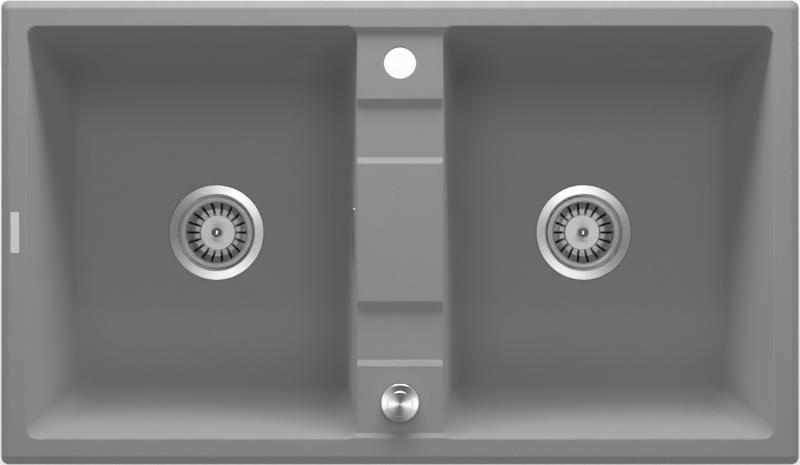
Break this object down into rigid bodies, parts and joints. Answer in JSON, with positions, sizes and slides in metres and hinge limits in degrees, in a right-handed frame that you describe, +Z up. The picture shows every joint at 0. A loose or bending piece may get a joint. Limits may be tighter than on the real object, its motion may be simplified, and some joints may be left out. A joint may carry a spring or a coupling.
{
  "type": "double bowl kitchen sink",
  "caption": "Inset double bowl kitchen sink of composite granite with a stepped divider, strainer wastes, overflow, pop-up control knob and joined waste pipes.",
  "frame": {"origin": "middle of the sink in plan, at the height of the worktop surface that the rim rests on", "axes": "+X along the sink to its right-hand bowl, +Y to the back where the tap stands, +Z up"},
  "size_m": [0.86, 0.5, 0.3486],
  "materials": {
    "composite": "matte moulded composite granite with fine sparkle",
    "rim_foam": "closed-cell foam",
    "badge_steel": "satin",
    "waste_steel": "satin turned",
    "basket_steel": "polished sheet",
    "polished_steel": "polished",
    "seal_rubber": "moulded rubber",
    "waste_plastic": "moulded",
    "pipe_plastic": "extruded",
    "nut_plastic": "moulded, ribbed",
    "rod_steel": "drawn bar",
    "lever_plastic": "moulded",
    "knob_steel": "turned with a circular grain",
    "housing_plastic": "moulded",
    "ferrule_steel": "plated",
    "cable_sheath": "extruded",
    "cover_steel": "satin pressed sheet",
    "screw_steel": "plated",
    "hose_plastic": "ribbed",
    "clamp_steel": "bright band",
    "insert_brass": "turned",
    "clip_steel": "zinc plated"
  },
  "bodies": {
    "sink": {"sink_body": "composite", "rim_seal": "rim_foam", "badge_plate": "badge_steel", "left_strainer_flange": "waste_steel", "left_flange_gasket": "seal_rubber", "left_cup_gasket": "seal_rubber", "left_waste_cup": "waste_plastic", "left_waste_pipe": "pipe_plastic", "right_strainer_flange": "waste_steel", "right_flange_gasket": "seal_rubber", "right_cup_gasket": "seal_rubber", "right_waste_cup": "waste_plastic", "right_waste_pipe": "pipe_plastic", "knob_rosette": "knob_steel", "knob_gasket": "seal_rubber", "knob_washer": "seal_rubber", "overflow_gasket": "seal_rubber", "pipe_washers": "seal_rubber", "knob_housing": "housing_plastic", "housing_lid": "housing_plastic", "cable_ferrules": "ferrule_steel", "control_cable": "cable_sheath", "overflow_cover": "cover_steel", "overflow_screws": "screw_steel", "clip_screws": "screw_steel", "overflow_head": "waste_plastic", "overflow_hose": "hose_plastic", "hose_clamps": "clamp_steel", "waste_tee": "pipe_plastic", "pipe_nuts": "nut_plastic", "clip_inserts": "insert_brass"},
    "knob": {"control_knob": "knob_steel", "knob_shaft": "rod_steel", "cable_drum": "housing_plastic"},
    "lift_rod": {"lift_rod": "rod_steel"},
    "cam": {"cam_shaft": "rod_steel", "cam_lever": "lever_plastic"},
    "wire": {"pull_wire": "rod_steel"},
    "left_basket": {"left_basket": "basket_steel", "left_basket_seal": "seal_rubber", "left_basket_knob": "polished_steel"},
    "right_basket": {"right_basket": "basket_steel", "right_basket_seal": "seal_rubber", "right_basket_knob": "polished_steel"},
    "clip_back_left": {"clip_back_left": "clip_steel"},
    "clip_back_right": {"clip_back_right": "clip_steel"},
    "clip_front_left": {"clip_front_left": "clip_steel"},
    "clip_front_right": {"clip_front_right": "clip_steel"},
    "clip_left_back": {"clip_left_back": "clip_steel"},
    "clip_left_front": {"clip_left_front": "clip_steel"},
    "clip_right_back": {"clip_right_back": "clip_steel"},
    "clip_right_front": {"clip_right_front": "clip_steel"}
  },
  "joints": [
    {"name": "knob_turn", "type": "hinge", "parent": "sink", "child": "knob", "pos_m": [0, -0.183, 0], "axis": [0, 0, 1], "range_deg": [0, 90]},
    {"name": "rod_lift", "type": "slide", "parent": "sink", "child": "lift_rod", "axis": [0, 0, 1], "range_m": [0, 0.01]},
    {"name": "cam_turn", "type": "hinge", "parent": "sink", "child": "cam", "pos_m": [-0.2445, 0, -0.259], "axis": [0, -1, 0], "range_deg": [0, 24.05]},
    {"name": "wire_pull", "type": "slide", "parent": "sink", "child": "wire", "axis": [1, 0, 0], "range_m": [0, 0.0125]},
    {"name": "left_basket_lift", "type": "slide", "parent": "lift_rod", "child": "left_basket", "axis": [0, 0, 1], "range_m": [0, 0.26]},
    {"name": "right_basket_lift", "type": "slide", "parent": "sink", "child": "right_basket", "axis": [0, 0, 1], "range_m": [0, 0.26]},
    {"name": "clip_back_left_swing", "type": "hinge", "parent": "sink", "child": "clip_back_left", "pos_m": [-0.27, 0.2305, 0], "axis": [0, 0, 1], "range_deg": [0, 90]},
    {"name": "clip_back_right_swing", "type": "hinge", "parent": "sink", "child": "clip_back_right", "pos_m": [0.27, 0.2305, 0], "axis": [0, 0, 1], "range_deg": [0, 90]},
    {"name": "clip_front_left_swing", "type": "hinge", "parent": "sink", "child": "clip_front_left", "pos_m": [-0.27, -0.2305, 0], "axis": [0, 0, 1], "range_deg": [0, 90]},
    {"name": "clip_front_right_swing", "type": "hinge", "parent": "sink", "child": "clip_front_right", "pos_m": [0.27, -0.2305, 0], "axis": [0, 0, 1], "range_deg": [0, 90]},
    {"name": "clip_left_back_swing", "type": "hinge", "parent": "sink", "child": "clip_left_back", "pos_m": [-0.4105, 0.11, 0], "axis": [0, 0, 1], "range_deg": [0, 90]},
    {"name": "clip_left_front_swing", "type": "hinge", "parent": "sink", "child": "clip_left_front", "pos_m": [-0.4105, -0.11, 0], "axis": [0, 0, 1], "range_deg": [0, 90]},
    {"name": "clip_right_back_swing", "type": "hinge", "parent": "sink", "child": "clip_right_back", "pos_m": [0.4105, 0.11, 0], "axis": [0, 0, 1], "range_deg": [0, 90]},
    {"name": "clip_right_front_swing", "type": "hinge", "parent": "sink", "child": "clip_right_front", "pos_m": [0.4105, -0.11, 0], "axis": [0, 0, 1], "range_deg": [0, 90]}
  ],
  "couplings": [
    {"joint": "rod_lift", "follows": "knob_turn", "m_per_rad": 0.006366},
    {"joint": "cam_turn", "follows": "knob_turn", "ratio": 0.2672},
    {"joint": "wire_pull", "follows": "knob_turn", "m_per_rad": 0.007957}
  ]
}
